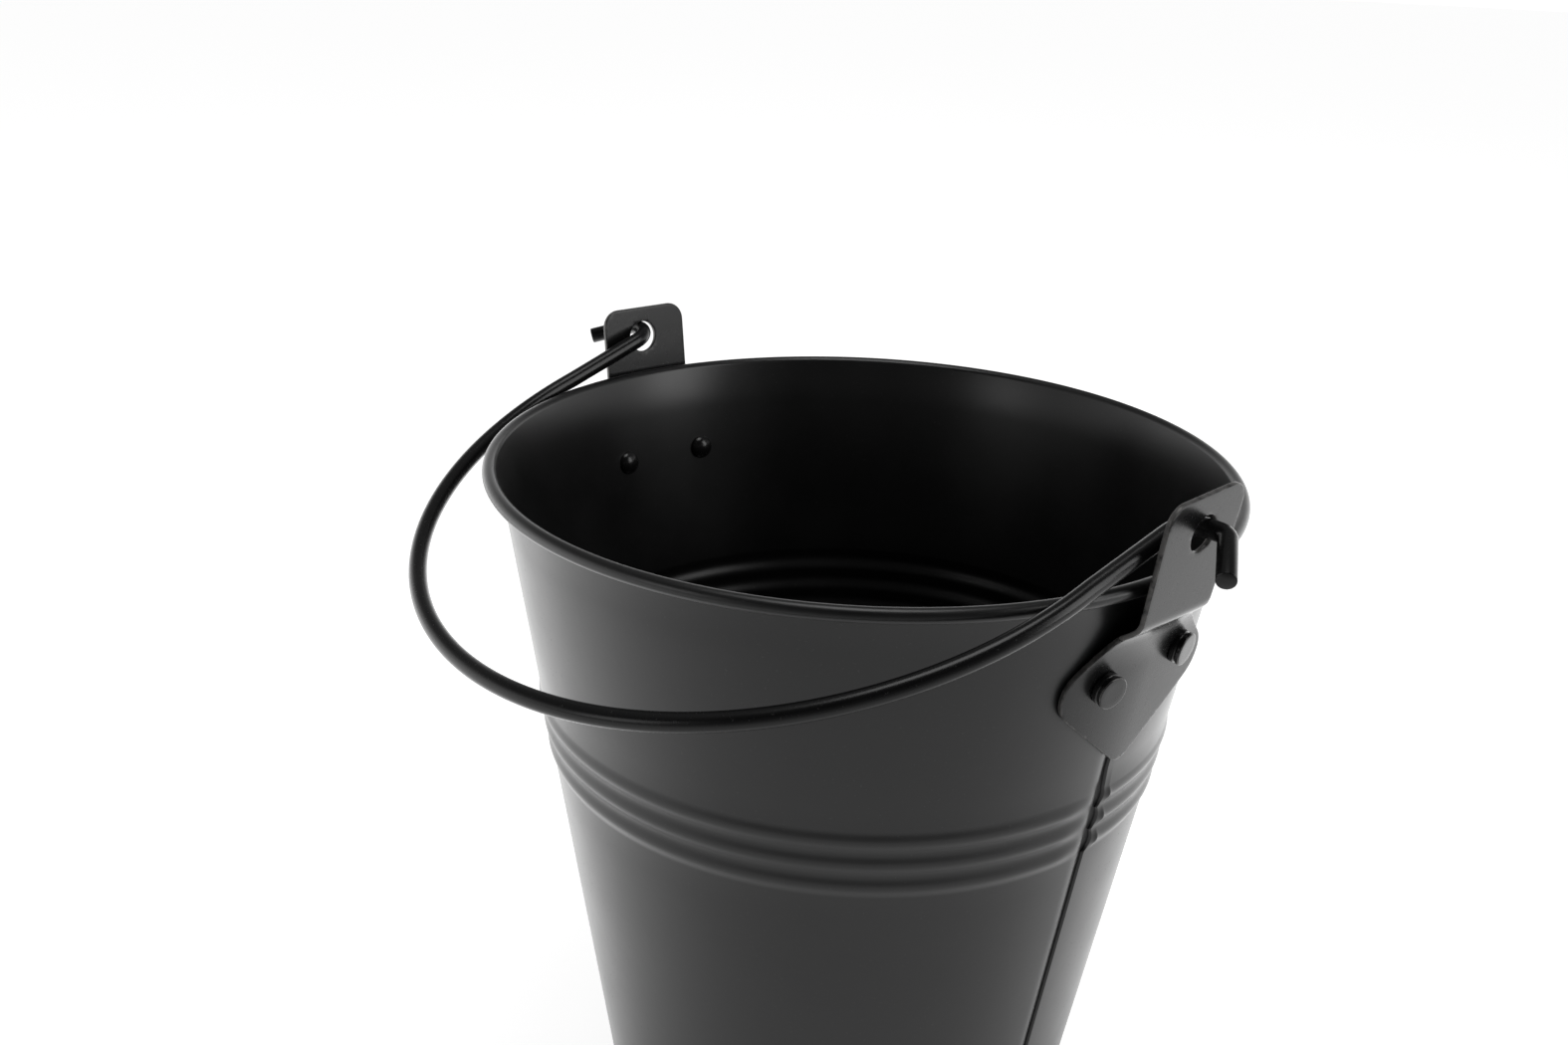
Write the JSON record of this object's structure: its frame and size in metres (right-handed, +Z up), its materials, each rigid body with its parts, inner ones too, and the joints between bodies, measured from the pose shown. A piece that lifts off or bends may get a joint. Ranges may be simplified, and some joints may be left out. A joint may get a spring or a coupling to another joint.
{
  "type": "florist bucket",
  "caption": "Tapered sheet-metal flower bucket with a rolled rim, pressed beads round the wall, riveted ears and a swinging wire bail.",
  "frame": {"origin": "centre of the base, on the floor it stands on", "axes": "+Z up along the bucket's axis; X runs from ear to ear, parallel to the bail's pivot line; the bail leans towards -Y at rest"},
  "size_m": [0.1815, 0.1692, 0.1565],
  "materials": {
    "wall_paint": "satin black",
    "base_paint": "satin black",
    "ear_paint": "satin black",
    "rivet_steel": "satin dark grey",
    "wire_paint": "semi-gloss black"
  },
  "bodies": {
    "bucket": {"wall": "wall_paint", "base_pan": "base_paint", "ear_right": "ear_paint", "ear_left": "ear_paint", "rivet_right_front": "rivet_steel", "rivet_right_back": "rivet_steel", "rivet_left_front": "rivet_steel", "rivet_left_back": "rivet_steel"},
    "bail": {"bail_handle": "wire_paint"}
  },
  "joints": [
    {"name": "bail_swing", "type": "hinge", "parent": "bucket", "child": "bail", "pos_m": [0, 0.0024, 0.1504], "axis": [-1, -0.0087, 0], "range_deg": [0, 217]}
  ]
}
